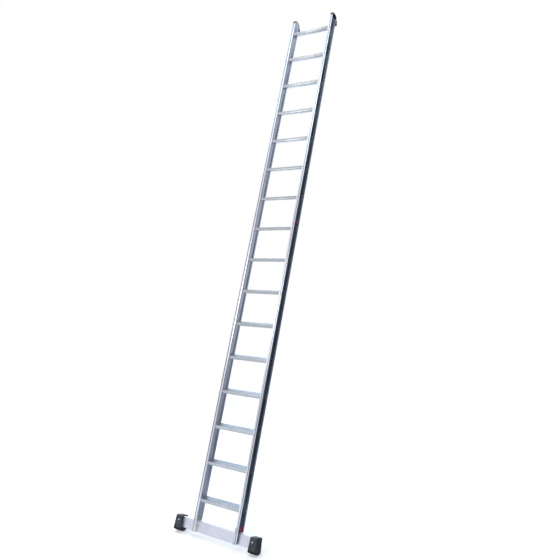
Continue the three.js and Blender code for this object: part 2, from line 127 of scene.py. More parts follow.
def ramp(tree, factor, low, high):
    """Maps a factor from low..high to 0..1."""
    limits = {"Value": factor, "From Min": low, "From Max": high}
    return add(tree, "ShaderNodeMapRange", limits).outputs["Result"]


def new_material(name):
    material = bpy.data.materials.new(name)
    material.use_nodes = True
    material.node_tree.nodes.clear()
    return material, material.node_tree


# %% [markdown]
# ## Floor, light and surroundings
# Bare aluminium shows little but its surroundings, so they matter more than the lamps. The studio is pale
# in front, brightest behind the ladder's left, which the treads mirror, and dim and bluish behind its
# right, which leaves the stiles' sides grey. Soft light is also held back on the right, so matt pieces
# have a shaded side.

# %% Surroundings
FRONT_SKY = "#dfe0e4"
BEHIND_LEFT = (-0.48, 0.72, 0.5)
BEHIND_RIGHT = (0.53, 0.85, 0.0)
RIGHT = (1.0, 0.0, 0.0)

world = bpy.data.worlds.new("studio")
bpy.context.scene.world = world
world.use_nodes = True
sky = world.node_tree
sky.nodes.clear()
direction = add(sky, "ShaderNodeTexCoord").outputs["Generated"]


def towards(place, low, high):
    """0 to 1 as a direction turns towards a place in the sky."""
    facing = add(sky, "ShaderNodeVectorMath", {0: direction, 1: place}, operation="DOT_PRODUCT")
    soft = {"Value": facing.outputs["Value"], "From Min": low, "From Max": high}
    return add(sky, "ShaderNodeMapRange", soft, interpolation_type="SMOOTHSTEP").outputs["Result"]


def tinted(factor, under, hex_value, gain=1.0):
    over = [gain * channel for channel in colour(hex_value)]
    mix = add(sky, "ShaderNodeMix", {"Factor": factor, "B": over}, data_type="RGBA")
    if isinstance(under, str):
        mix.inputs["A"].default_value = colour(under)
    else:
        sky.links.new(under, mix.inputs["A"])
    return mix.outputs["Result"]


bright = tinted(towards(BEHIND_LEFT, 0.5, 0.85), FRONT_SKY, "#d9e8fa", gain=2.5)
all_round = tinted(towards(BEHIND_RIGHT, 0.35, 0.9), bright, "#b6c0cc")
held_back = tinted(towards(RIGHT, -0.1, 0.5), all_round, "#2a2d31")
matt_ray = add(sky, "ShaderNodeLightPath").outputs["Is Diffuse Ray"]
light = add(sky, "ShaderNodeMix", {"Factor": matt_ray, "A": all_round, "B": held_back}, data_type="RGBA")
studio = add(sky, "ShaderNodeBackground", {"Color": light.outputs["Result"], "Strength": 1.0})
paper = add(sky, "ShaderNodeBackground", {"Color": (1, 1, 1, 1), "Strength": 1.0})
seen = add(sky, "ShaderNodeLightPath").outputs["Is Camera Ray"]
mixed = add(sky, "ShaderNodeMixShader", {0: seen, 1: studio.outputs[0], 2: paper.outputs[0]})
add(sky, "ShaderNodeOutputWorld", {"Surface": mixed.outputs[0]})
bpy.context.scene.view_settings.view_transform = "Standard"

# %% [markdown]
# Two soft disc lamps add a little shape. The large one overhead lights the treads, and the other stands
# in front on the left, so the ladder's right side falls away into shade.

# %% Lamps


def area_lamp(name, place, target, size, watts):
    lamp = bpy.data.lights.new(name, "AREA")
    lamp.shape = "DISK"
    lamp.size = size
    lamp.energy = watts
    obj = bpy.data.objects.new(name, lamp)
    bpy.context.scene.collection.objects.link(obj)
    obj.location = place
    obj.rotation_euler = (Vector(target) - Vector(place)).to_track_quat("-Z", "Y").to_euler()
    return obj


area_lamp("key_lamp", place=(-2.5, -5.0, 5.5), target=(0, 0, 2), size=3.0, watts=50)
area_lamp("top_lamp", place=(0.5, -0.5, 7.5), target=(0, 0, 1), size=4.0, watts=60)

# %% [markdown]
# A photographer darkens one side of shiny metal with a black flag. This one is a long narrow cloth beside
# the right stile. Only reflections see it: it throws no shadow, and the camera looks straight through it.

# %% Flag
FLAG_DISTANCE = 0.5
FLAG_FRONT = 0.3
FLAG_REAR = 0.98
OVERHANG = 1.0


def matt(tree, light_hex, dark_hex, glow=0.0):
    """A matt surface mottled between two close tones, with a little light of its own."""
    place = add(tree, "ShaderNodeTexCoord").outputs["Object"]
    grain = add(tree, "ShaderNodeTexNoise", {"Vector": place, "Scale": 3.0, "Detail": 4.0})
    tones = {"Factor": grain.outputs["Fac"], "A": colour(light_hex), "B": colour(dark_hex)}
    tone = add(tree, "ShaderNodeMix", tones, data_type="RGBA")
    cloth = add(tree, "ShaderNodeBsdfDiffuse", {"Color": tone.outputs["Result"]})
    shine = add(tree, "ShaderNodeEmission", {"Strength": glow})
    return add(tree, "ShaderNodeAddShader", {0: cloth.outputs[0], 1: shine.outputs[0]}).outputs[0]


black_cloth, tree = new_material("black_cloth")
add(tree, "ShaderNodeOutputMaterial", {"Surface": matt(tree, "#08090b", "#0c0d10")})
low, high = span("right_stile")
bpy.ops.object.select_all(action="DESELECT")
bpy.ops.mesh.primitive_plane_add(size=1)
flag = bpy.context.active_object
flag.name = "black_flag"
flag_size = Matrix.Diagonal((high.z - low.z + OVERHANG, FLAG_REAR - FLAG_FRONT, 1, 1))
flag_place = Vector((high.x + FLAG_DISTANCE, (FLAG_FRONT + FLAG_REAR) / 2, (low.z + high.z) / 2))
on_edge = Matrix.Rotation(math.pi / 2, 4, "Y")
flag.data.transform(LEANING @ Matrix.Translation(flag_place) @ on_edge @ flag_size)
flag.data.materials.append(black_cloth)
flag.visible_camera = False
flag.visible_diffuse = False
flag.visible_shadow = False

# %% [markdown]
# The floor is a plain pale disc that fades out with distance, so that no horizon line shows. The part
# behind the ladder is duller to everything but the camera, so the stiles don't mirror a white floor.

# %% Floor
FLOOR_RADIUS = 9.0
FADE = (0.25, 0.95)  # of the radius
DULL_LINE = (-1.1, -0.7)  # metres along y, from pale to dull

pale_floor, tree = new_material("pale_floor")
place = add(tree, "ShaderNodeTexCoord").outputs["Object"]
depth = add(tree, "ShaderNodeSeparateXYZ", {"Vector": place}).outputs["Y"]
camera_ray = add(tree, "ShaderNodeLightPath").outputs["Is Camera Ray"]
unseen = add(tree, "ShaderNodeMath", {0: 1.0, 1: camera_ray}, operation="SUBTRACT")
behind = ramp(tree, depth, *DULL_LINE)
dull = add(tree, "ShaderNodeMath", {0: behind, 1: unseen.outputs[0]}, operation="MULTIPLY")
pale_surface = matt(tree, "#f2f2f2", "#f6f6f6", glow=0.36)
dull_surface = matt(tree, "#9a9ea6", "#9ea2aa")
surface = add(tree, "ShaderNodeMixShader", {0: dull.outputs[0], 1: pale_surface, 2: dull_surface})
distance = add(tree, "ShaderNodeVectorMath", {0: place}, operation="LENGTH").outputs["Value"]
fading = ramp(tree, distance, FADE[0] * FLOOR_RADIUS, FADE[1] * FLOOR_RADIUS)
clear = add(tree, "ShaderNodeBsdfTransparent")
faded = add(tree, "ShaderNodeMixShader", {0: fading, 1: surface.outputs[0], 2: clear.outputs[0]})
add(tree, "ShaderNodeOutputMaterial", {"Surface": faded.outputs[0]})

bpy.ops.object.select_all(action="DESELECT")
bpy.ops.mesh.primitive_circle_add(vertices=96, radius=FLOOR_RADIUS, fill_type="NGON")
floor = bpy.context.active_object
floor.name = "floor"
floor.data.materials.append(pale_floor)

# %% [markdown]
# ## Extruded aluminium
# The stiles, rungs and bar are 6000-series aluminium pushed through a die and left bare. The die leaves
# fine lines along the whole length, and handling leaves faint cloudy patches where the oxide is duller.
# The real lines are a few hundredths of a millimetre wide, far too fine to show, so they are drawn about
# 1.5 mm wide and very faint. Each extrusion gets the same recipe, turned to run its own way. The floor of
# a stile's outer channel is given a darker slate: painted shade for the recess between its lips. The
# notches in the treads get a darker grey still, painted shade in the notches, so they can be told apart.

# %% Extruded aluminium
DIE_LINE = 1.5 * MM  # drawn width; the real ones are finer
CLOUD = 90 * MM
GRIT = 0.8 * MM
LIP = 10 * MM
CHANNEL_EDGE = 4 * MM
OUTER_WEB = span("right_stile")[1].x - LIP
ALONG_X = (0.004, 1, 1)  # how the drawn lines are stretched
ALONG_Z = (1, 1, 0.004)


def painted_channel_shade(tree, place):
    """Painted shade: 1 on the floor of a stile's outer channel, 0 on the lips that stand beside it and
    everywhere else.
    """
    across = add(tree, "ShaderNodeSeparateXYZ", {"Vector": place}).outputs["X"]
    off_web = add(tree, "ShaderNodeMath", {0: across}, operation="ABSOLUTE")
    off_web = add(tree, "ShaderNodeMath", {0: off_web.outputs[0], 1: OUTER_WEB}, operation="SUBTRACT")
    off_web = add(tree, "ShaderNodeMath", {0: off_web.outputs[0]}, operation="ABSOLUTE")
    return ramp(tree, off_web.outputs[0], CHANNEL_EDGE, 0.5 * CHANNEL_EDGE)


def extruded_aluminium(name, base, dull, roughness, turn=(0, 0, 0), stretch=ALONG_Z, channel=None):
    material, tree = new_material(name)
    place = add(tree, "ShaderNodeTexCoord").outputs["Object"]
    along = add(tree, "ShaderNodeMapping", {"Vector": place, "Rotation": turn})
    drawn = add(tree, "ShaderNodeVectorMath", {0: along.outputs[0], 1: stretch}, operation="MULTIPLY")
    lines = add(
        tree,
        "ShaderNodeTexNoise",
        {"Vector": drawn.outputs[0], "Scale": 1 / (2 * DIE_LINE), "Detail": 2.0, "Roughness": 0.6},
    )
    clouds = add(
        tree,
        "ShaderNodeTexNoise",
        {"Vector": place, "Scale": 1 / CLOUD, "Detail": 4.0, "Roughness": 0.55},
    )
    grit = add(tree, "ShaderNodeTexNoise", {"Vector": place, "Scale": 1 / GRIT, "Detail": 1.0})
    patch = ramp(tree, clouds.outputs["Fac"], 0.35, 0.7)
    tint = add(tree, "ShaderNodeMix", {"Factor": patch, "A": colour(base), "B": colour(dull)}, data_type="RGBA")
    # Painted shade: the floor of a stile's outer channel is mixed towards the darker channel colour.
    if channel:
        tint = add(
            tree,
            "ShaderNodeMix",
            {"Factor": painted_channel_shade(tree, place), "A": tint.outputs["Result"], "B": colour(channel)},
            data_type="RGBA",
        )
    streak = add(tree, "ShaderNodeMapRange", {"Value": lines.outputs["Fac"], "To Min": -0.05, "To Max": 0.05})
    hazy = {"Value": patch, "To Min": roughness - 0.04, "To Max": roughness + 0.05}
    haze = add(tree, "ShaderNodeMapRange", hazy)
    polish = add(tree, "ShaderNodeMath", {0: streak.outputs[0], 1: haze.outputs[0]}, operation="ADD")
    drawn_lines = {"Height": lines.outputs["Fac"], "Strength": 0.12, "Distance": 0.2 * MM}
    line_bump = add(tree, "ShaderNodeBump", drawn_lines)
    grit_bump = add(
        tree,
        "ShaderNodeBump",
        {
            "Height": grit.outputs["Fac"],
            "Strength": 0.08,
            "Distance": 0.05 * MM,
            "Normal": line_bump.outputs[0],
        },
    )
    metal = add(
        tree,
        "ShaderNodeBsdfPrincipled",
        {
            "Base Color": tint.outputs["Result"],
            "Metallic": 1.0,
            "Roughness": polish.outputs[0],
            "Normal": grit_bump.outputs[0],
        },
    )
    add(tree, "ShaderNodeOutputMaterial", {"Surface": metal.outputs[0]})
    return material


# The channel colour #66727f is painted shade for the recess of the stiles' outer channel.
STILE_METAL = extruded_aluminium(
    "stile_aluminium", "#e9ebf3", "#dfe2ea", 0.34, turn=(-LEAN, 0, 0), channel="#66727f"
)
RUNG_METAL = extruded_aluminium("rung_aluminium", "#c4c8cb", "#b8bcc0", 0.36, stretch=ALONG_X)
# The notch colour #747c86 is painted shade for the floors of the notches.
NOTCH_SHADE_METAL = extruded_aluminium("notch_shade_aluminium", "#747c86", "#69717b", 0.5, stretch=ALONG_X)
BAR_METAL = extruded_aluminium("bar_aluminium", "#e6e8f4", "#dcdfea", 0.42, stretch=ALONG_X)
BRACKET_METAL = extruded_aluminium("bracket_aluminium", "#e3eadf", "#d7ddd2", 0.36, turn=(-LEAN, 0, 0))

# %% [markdown]
# ## Zinc-plated steel
# The bolts, screws and rivets are steel with a thin bright zinc plate. It is more mirror-like than the
# aluminium, slightly blue, and mottled where the plate's crystals differ.

# %% Zinc plate
ZINC, tree = new_material("zinc_plated_steel")
place = add(tree, "ShaderNodeTexCoord").outputs["Object"]
crystals = add(tree, "ShaderNodeTexVoronoi", {"Vector": place, "Scale": 1 / (1.2 * MM)})
mottle = add(tree, "ShaderNodeTexNoise", {"Vector": place, "Scale": 1 / (3 * MM), "Detail": 3.0})
tint = add(
    tree,
    "ShaderNodeMix",
    {"Factor": mottle.outputs["Fac"], "A": colour("#e6eaee"), "B": colour("#cfd4da")},
    data_type="RGBA",
)
glossy = {"Value": crystals.outputs["Distance"], "To Min": 0.22, "To Max": 0.34}
gloss = add(tree, "ShaderNodeMapRange", glossy)
metal = add(
    tree,
    "ShaderNodeBsdfPrincipled",
    {"Base Color": tint.outputs["Result"], "Metallic": 1.0, "Roughness": gloss.outputs[0]},
)
add(tree, "ShaderNodeOutputMaterial", {"Surface": metal.outputs[0]})

# %% [markdown]
# ## Moulded plastic and rubber
# The boots and caps are injection-moulded polypropylene: a fine spark-eroded grain from the mould, a soft
# broad highlight, and a little pale scuffing. The soles are rubber, blacker and duller, with dust in the
# low spots. One recipe makes all three, with its own colours, grain size and gloss.

# %% Moulded plastic and rubber


def moulded(name, base, worn, roughness, grain_size, grain_depth):
    material, tree = new_material(name)
    place = add(tree, "ShaderNodeTexCoord").outputs["Object"]
    grain = add(tree, "ShaderNodeTexNoise", {"Vector": place, "Scale": 1 / grain_size, "Detail": 2.0})
    scuffs = add(
        tree,
        "ShaderNodeTexNoise",
        {"Vector": place, "Scale": 1 / (22 * MM), "Detail": 6.0, "Roughness": 0.7},
    )
    wear = ramp(tree, scuffs.outputs["Fac"], 0.48, 0.78)
    tint = add(tree, "ShaderNodeMix", {"Factor": wear, "A": colour(base), "B": colour(worn)}, data_type="RGBA")
    gloss = add(
        tree,
        "ShaderNodeMapRange",
        {"Value": scuffs.outputs["Fac"], "To Min": roughness - 0.08, "To Max": roughness + 0.1},
    )
    bump = add(
        tree,
        "ShaderNodeBump",
        {"Height": grain.outputs["Fac"], "Strength": 0.3, "Distance": grain_depth},
    )
    skin = add(
        tree,
        "ShaderNodeBsdfPrincipled",
        {
            "Base Color": tint.outputs["Result"],
            "Roughness": gloss.outputs[0],
            "IOR": 1.49,
            "Normal": bump.outputs[0],
        },
    )
    add(tree, "ShaderNodeOutputMaterial", {"Surface": skin.outputs[0]})
    return material


BOOT_PLASTIC = moulded("boot_polypropylene", "#383e45", "#4a5057", 0.5, 0.9 * MM, 0.08 * MM)
CAP_PLASTIC = moulded("cap_polypropylene", "#131419", "#1f2127", 0.45, 0.9 * MM, 0.06 * MM)
SOLE_RUBBER = moulded("sole_rubber", "#141416", "#242528", 0.8, 1.4 * MM, 0.15 * MM)

# %% [markdown]
# ## Helpers for modelling
# An operator acts on everything that is selected, so each piece starts with nothing selected, and its
# faces, edges or points are then picked in code by their place or direction. A finished piece is leaned
# if it was made upright, its place goes into its mesh, and it rides on the ladder in the stead of its
# plain node.

# %% Modelling helpers


def alone(obj):
    bpy.ops.object.select_all(action="DESELECT")
    obj.select_set(True)
    bpy.context.view_layer.objects.active = obj


def box_between(name, low, high):
    """A block from one corner to the other."""
    bpy.ops.object.select_all(action="DESELECT")
    bpy.ops.mesh.primitive_cube_add(size=1, location=(low + high) / 2, scale=high - low)
    obj = bpy.context.active_object
    obj.name = name
    bpy.ops.object.transform_apply(location=True, rotation=True, scale=True)
    return obj


def rod(name, radius, start, end, sides=32):
    """A round bar from one point to another."""
    bpy.ops.object.select_all(action="DESELECT")
    run = end - start
    centre = (start + end) / 2
    bpy.ops.mesh.primitive_cylinder_add(vertices=sides, radius=radius, depth=run.length, location=centre)
    obj = bpy.context.active_object
    obj.name = name
    obj.rotation_euler = run.to_track_quat("Z", "Y").to_euler()
    bpy.ops.object.transform_apply(location=True, rotation=True, scale=True)
    return obj


def pick(obj, kind, test):
    """Selects the faces, edges or verts that pass a test, in edit mode, and returns how many there are."""
    bpy.ops.mesh.select_mode(type={"faces": "FACE", "edges": "EDGE", "verts": "VERT"}[kind])
    bpy.ops.mesh.select_all(action="DESELECT")
    mesh = bmesh.from_edit_mesh(obj.data)
    mesh.normal_update()
    chosen = [element for element in getattr(mesh, kind) if test(element)]
    for element in chosen:
        element.select_set(True)
    mesh.select_flush_mode()
    bmesh.update_edit_mesh(obj.data)
    return len(chosen)


def edge_middle(edge):
    return (edge.verts[0].co + edge.verts[1].co) / 2


def edge_run(edge):
    return (edge.verts[1].co - edge.verts[0].co).normalized()


def copy_of(node, name):
    """A copy of a plain node, brought upright, with its loose triangles joined into whole faces."""
    obj = bpy.data.objects.new(name, NODES[node].data.copy())
    bpy.context.scene.collection.objects.link(obj)
    obj.data.transform(UPRIGHT)
    alone(obj)
    bpy.ops.object.mode_set(mode="EDIT")
    bpy.ops.mesh.select_all(action="SELECT")
    bpy.ops.mesh.remove_doubles(threshold=0.01 * MM)
    bpy.ops.mesh.dissolve_limited(angle_limit=math.radians(1))
    bpy.ops.object.mode_set(mode="OBJECT")
    return obj


def cut(obj, *cutters, way="DIFFERENCE"):
    for cutter in cutters:
        alone(obj)
        tool = obj.modifiers.new("cut", "BOOLEAN")
        tool.object = cutter
        tool.operation = way
        tool.solver = "EXACT"
        bpy.ops.object.modifier_apply(modifier=tool.name)
        bpy.data.objects.remove(cutter)
    return obj


def soften(obj, width, segments=3, angle=35):
    """Rounds every edge sharper than an angle, as a mould or a deburring pass does."""
    alone(obj)
    rounding = obj.modifiers.new("rounding", "BEVEL")
    rounding.width = width
    rounding.segments = segments
    rounding.limit_method = "ANGLE"
    rounding.angle_limit = math.radians(angle)
    rounding.harden_normals = False
    bpy.ops.object.modifier_apply(modifier=rounding.name)
    return obj


def finish_piece(obj, material, slot, *nodes, upright=True, smooth=35):
    if upright:
        obj.data.transform(LEANING)
    alone(obj)
    bpy.ops.object.mode_set(mode="EDIT")
    bpy.ops.mesh.select_all(action="SELECT")
    bpy.ops.mesh.normals_make_consistent(inside=False)
    bpy.ops.object.mode_set(mode="OBJECT")
    bpy.ops.object.shade_smooth_by_angle(angle=math.radians(smooth))
    obj.data.materials.clear()
    obj.data.materials.append(material)
    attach(obj, "root")
    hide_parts(*nodes)
    print(obj.name, len(obj.data.polygons), "faces, size mm", [round(v / MM, 1) for v in obj.dimensions])
    return obj


# %% [markdown]
# ## Stiles
# Each stile is one extrusion: a box with two lips that run on outwards, so its outer side is a shallow
# channel. The node already has the true section, the rung holes, the notch for the bar and the rounded
# top, so a copy of it is kept and only its sharp edges are broken, as the die and the deburring brush
# leave them.

# %% Stiles
for name, side in SIDES:
    stile = copy_of(f"{name}_stile", f"{name}_stile_extrusion")
    soften(stile, 0.7 * MM, segments=2, angle=50)
    finish_piece(stile, STILE_METAL, "aluminium", f"{name}_stile", smooth=40)

# %% [markdown]
# ## Rungs
# A rung is one extrusion: a wide level tread with a deep nose and a shallow rear flange, on a square
# tube. The tread ends at the stiles and the tube runs on through them, where its ends are flared
# outwards. One rung is modelled at the lowest place and copied. It lies level in use, so it isn't leaned
# afterwards. The tube comes first: a block with rounded edges, whose ends are inset by the wall's
# thickness and bridged into a bore.

# %% The tube through the stiles
TUBE_DEPTH = 30 * MM
TUBE_HEIGHT = 27 * MM
TUBE_CORNER = 5 * MM
TUBE_WALL = 2 * MM
JOIN_DEPTH = 0.05 * MM  # how far the tube's skin lies inside the tread, so that no two faces coincide
FLARE = 2.4 * MM
FLARE_WIDTH = 2 * MM
NOSE_REACH = 33 * MM  # from the tube's axis to the front of the nose

low, high = (Vector(corner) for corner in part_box("rung_01"))
half_length = high.x
axis = Vector((0, low.y + NOSE_REACH, (low.z + high.z) / 2))
top = axis.z + TUBE_HEIGHT / 2
bottom = axis.z - TUBE_HEIGHT / 2
half_tube = Vector((half_length, TUBE_DEPTH / 2 - JOIN_DEPTH, TUBE_HEIGHT / 2 - JOIN_DEPTH))
tube = box_between("rung_tube", axis - half_tube, axis + half_tube)
bpy.ops.object.mode_set(mode="EDIT")
pick(tube, "edges", lambda e: abs(edge_run(e).x) > 0.9)
bpy.ops.mesh.bevel(offset=TUBE_CORNER, segments=5)
pick(tube, "faces", lambda f: abs(f.normal.x) > 0.9)
bpy.ops.mesh.inset(thickness=TUBE_WALL, use_boundary=True, use_individual=True)
pick(tube, "faces", lambda f: abs(f.normal.x) > 0.9 and len(f.verts) > 4)
bpy.ops.mesh.delete(type="FACE")
pick(tube, "edges", lambda e: e.is_boundary)
bpy.ops.mesh.bridge_edge_loops()


def outside(face):
    """True for the tube's outer skin, false for its bore and end rings."""
    off_axis = face.calc_center_median() - axis
    off_axis.x = 0
    return abs(face.normal.x) < 0.5 and face.normal.dot(off_axis) > 0


for x in (FLARE_WIDTH - half_length, half_length - FLARE_WIDTH):
    pick(tube, "faces", outside)
    bpy.ops.mesh.bisect(plane_co=(x, 0, 0), plane_no=(1, 0, 0))
pick(tube, "faces", lambda f: outside(f) and abs(f.calc_center_median().x) > half_length - FLARE_WIDTH)
bpy.ops.mesh.extrude_region_shrink_fatten(TRANSFORM_OT_shrink_fatten={"value": FLARE})
print("rung tube has", len(bmesh.from_edit_mesh(tube.data).faces), "faces")
bpy.ops.object.mode_set(mode="OBJECT")

# %% [markdown]
# The tread starts as a block that holds the nose and the tube. A thin strip along the top of its rear
# face is extruded backwards to make the plate, and the plate's end downwards to make the rear flange.
# Then the nose is rounded, a groove is pressed into it, and the top is sliced into strips, every second
# of which is raised. Notches cross the ribs too, which is a guess.

# %% The tread
TREAD_WALL = 2.5 * MM
CLOSE = 0.01 * MM
REAR_FLANGE = 18 * MM
NOSE_ROUND = 3 * MM
NOSE_GROOVE = 3.5 * MM
GROOVE_SINK = 1.2 * MM
RIB_COUNT = 13
RIB_WIDTH = 2.6 * MM
RIB_PITCH = 5 * MM
RIB_HEIGHT = 0.9 * MM
TREAD_GAP = 0.4 * MM
DIE_RADIUS = 0.35 * MM
NOTCH_COUNT = 15
NOTCH_PITCH = 23 * MM
NOTCH_WIDTH = 8 * MM

tread_end = -span("left_stile")[1].x - TREAD_GAP
tube_rear = axis.y + TUBE_DEPTH / 2
flange_front = high.y - TREAD_WALL
tread = box_between("rung_master", Vector((-tread_end, low.y, bottom)), Vector((tread_end, tube_rear, top)))
bpy.ops.object.mode_set(mode="EDIT")
pick(tread, "faces", lambda f: True)
bpy.ops.mesh.bisect(plane_co=(0, 0, top - TREAD_WALL), plane_no=(0, 0, 1))
pick(tread, "faces", lambda f: f.normal.y > 0.9 and f.calc_center_median().z > top - TREAD_WALL)
bpy.ops.mesh.extrude_region_move(TRANSFORM_OT_translate={"value": (0, flange_front - tube_rear, 0)})
bpy.ops.mesh.extrude_region_move(TRANSFORM_OT_translate={"value": (0, TREAD_WALL, 0)})
pick(tread, "faces", lambda f: f.normal.z < -0.9 and f.calc_center_median().y > flange_front)
bpy.ops.mesh.extrude_region_move(TRANSFORM_OT_translate={"value": (0, 0, TREAD_WALL - REAR_FLANGE)})


def on_nose_corner(edge):
    """True on the two long front edges of the nose."""
    place = edge_middle(edge)
    at_corner = min(abs(place.z - z) for z in (bottom, top)) < CLOSE
    return abs(edge_run(edge).x) > 0.9 and abs(place.y - low.y) < CLOSE and at_corner


def in_nose_groove(face):
    return face.normal.y < -0.9 and abs(face.calc_center_median().z - axis.z) < NOSE_GROOVE / 2


pick(tread, "edges", on_nose_corner)
bpy.ops.mesh.bevel(offset=NOSE_ROUND, segments=5)
for z in (axis.z - NOSE_GROOVE / 2, axis.z + NOSE_GROOVE / 2):
    pick(tread, "faces", lambda f: f.normal.y < -0.9)
    bpy.ops.mesh.bisect(plane_co=(0, 0, z), plane_no=(0, 0, 1))
pick(tread, "faces", in_nose_groove)
bpy.ops.mesh.extrude_region_move(TRANSFORM_OT_translate={"value": (0, GROOVE_SINK, 0)})

# %% [markdown]
# The die gives a real tread its ribs along the whole length. The notches across them are a guess at why
# the treads look broken up; a toothed roller could press them. From the camera they barely show, but from
# above they are plain. Here the tread's top is sliced both ways, and only the rib strips between two
# notches are raised.

# %% Tread ribs


def on_tread(face):
    return face.normal.z > 0.9 and abs(face.calc_center_median().z - top) < 0.05 * MM


def strips(first, pitch, width, count):
    """Where each of a row of even strips starts and ends."""
    middles = [first + i * pitch for i in range(count)]
    return [(at - width / 2, at + width / 2) for at in middles]


first = (low.y + high.y) / 2 - (RIB_COUNT - 1) * RIB_PITCH / 2
ribs = strips(first, RIB_PITCH, RIB_WIDTH, RIB_COUNT)
for y in [edge for rib in ribs for edge in rib]:
    pick(tread, "faces", on_tread)
    bpy.ops.mesh.bisect(plane_co=(0, y, 0), plane_no=(0, 1, 0))
first = (1 - NOTCH_COUNT) * NOTCH_PITCH / 2
notches = strips(first, NOTCH_PITCH, NOTCH_WIDTH, NOTCH_COUNT)
for x in [edge for notch in notches for edge in notch]:
    pick(tread, "faces", on_tread)
    bpy.ops.mesh.bisect(plane_co=(x, 0, 0), plane_no=(1, 0, 0))


def on_rib(face):
    """True on a rib's strip, except where a notch crosses it."""
    at = face.calc_center_median()
    in_rib = any(low_y < at.y < high_y for low_y, high_y in ribs)
    return on_tread(face) and in_rib and not any(low_x < at.x < high_x for low_x, high_x in notches)


pick(tread, "faces", on_rib)
bpy.ops.mesh.extrude_region_move(TRANSFORM_OT_translate={"value": (0, 0, RIB_HEIGHT)})
bpy.ops.object.mode_set(mode="OBJECT")
soften(tread, DIE_RADIUS, segments=2, angle=50)
print("tread has", len(tread.data.polygons), "faces")

# %% [markdown]
# The tread is cut through where the bore and the hollow nose run, and is then joined to the tube, so that
# a rung is one piece like the real extrusion. The cut leaves a few edges open, so the shell isn't
# perfectly closed.

# %% Hollow the tread and join the tube
core = half_tube + Vector((TREAD_GAP, JOIN_DEPTH - TUBE_WALL, JOIN_DEPTH - TUBE_WALL))
bore = soften(box_between("bore", axis - core, axis + core), TUBE_CORNER - TUBE_WALL, segments=5)
nose_hollow = box_between(
    "nose_hollow",
    Vector((-half_length, low.y + TUBE_WALL + GROOVE_SINK, bottom + TUBE_WALL)),
    Vector((half_length, axis.y - TUBE_DEPTH / 2, top - TREAD_WALL - JOIN_DEPTH)),
)
cut(tread, bore, nose_hollow)
rung = cut(tread, tube, way="UNION")
print("rung has", len(rung.data.polygons), "faces")

# %% [markdown]
# All rungs come off one extrusion, so the first one is copied to every place. The notch floors get their
# darker grey, which is painted shade, face by face.

# %% Sixteen rungs


def in_notch(polygon):
    """True on the floor of a notch."""
    level = abs(polygon.center.z - top) < RIB_HEIGHT / 2
    return polygon.normal.z > 0.9 and level and any(a < polygon.center.x < b for a, b in notches)


RUNG_COUNT = 16

master = rung.data
notch_shade_faces = {polygon.index for polygon in master.polygons if in_notch(polygon)}
start_place = middle("rung_01")
for index in range(1, RUNG_COUNT + 1):
    node = f"rung_{index:02d}"
    tread_copy = bpy.data.objects.new(f"rung_tread_{index:02d}", master.copy())
    bpy.context.scene.collection.objects.link(tread_copy)
    tread_copy.data.transform(Matrix.Translation(middle(node) - start_place))
    finish_piece(tread_copy, RUNG_METAL, "aluminium", node, upright=False, smooth=40)
    tread_copy.data.materials.append(NOTCH_SHADE_METAL)
    # Faces in the notches take the darker material: painted shade.
    for polygon in tread_copy.data.polygons:
        polygon.material_index = int(polygon.index in notch_shade_faces)
bpy.data.objects.remove(rung)
print(len(notch_shade_faces), "faces are notch floors on each rung")

# %% [markdown]
# ## Stabiliser bar
# The bar is a rectangular tube across the stiles' lower ends. It is modelled from a block: the long edges
# are rounded, the ends inset by the wall's thickness, and the two openings bridged into a bore.

# %% Stabiliser bar
BAR_CORNER = 4 * MM
BAR_WALL = 2.5 * MM

low, high = span("stabiliser_bar")
bar = box_between("stabiliser_bar_tube", low, high)
bpy.ops.object.mode_set(mode="EDIT")
pick(bar, "edges", lambda e: abs(edge_run(e).x) > 0.9)
bpy.ops.mesh.bevel(offset=BAR_CORNER, segments=6)
pick(bar, "faces", lambda f: abs(f.normal.x) > 0.9)
bpy.ops.mesh.inset(thickness=BAR_WALL, use_boundary=True, use_individual=True)
pick(bar, "faces", lambda f: abs(f.normal.x) > 0.9 and len(f.verts) > 4)
bpy.ops.mesh.delete(type="FACE")
pick(bar, "edges", lambda e: e.is_boundary)
bpy.ops.mesh.bridge_edge_loops()
bpy.ops.object.mode_set(mode="OBJECT")
finish_piece(bar, BAR_METAL, "aluminium", "stabiliser_bar")

# %% [markdown]
# ## Brackets and inserts
# A bracket hugs the inner side of each stile's lower end and wraps its front edge, and a block inside the
# stile takes the bar's bolts. Their shapes are already true, so copies keep them and lose only the sharp
# edges.

# %% Brackets and inserts
for name, side in SIDES:
    bracket = soften(copy_of(f"{name}_bracket", f"{name}_corner_bracket"), 0.8 * MM)
    finish_piece(bracket, BRACKET_METAL, "aluminium", f"{name}_bracket")
    insert = soften(copy_of(f"{name}_stile_insert", f"{name}_insert_block"), 0.5 * MM, segments=2)
    finish_piece(insert, BOOT_PLASTIC, "foot_plastic", f"{name}_stile_insert")

# %% [markdown]
# ## Boots
# Each boot is a thick moulding over the bar's end. All its edges carry the mould's generous radius, and
# its front has a shallow panel let into it, with a raised boss left round the screw.

# %% Boots
PANEL_MARGIN = 9 * MM
PANEL_DEPTH = 1.6 * MM
BOSS_RADIUS = 9 * MM
BOOT_ROUND = 2.2 * MM
PANEL_ROUND = 0.4 * MM

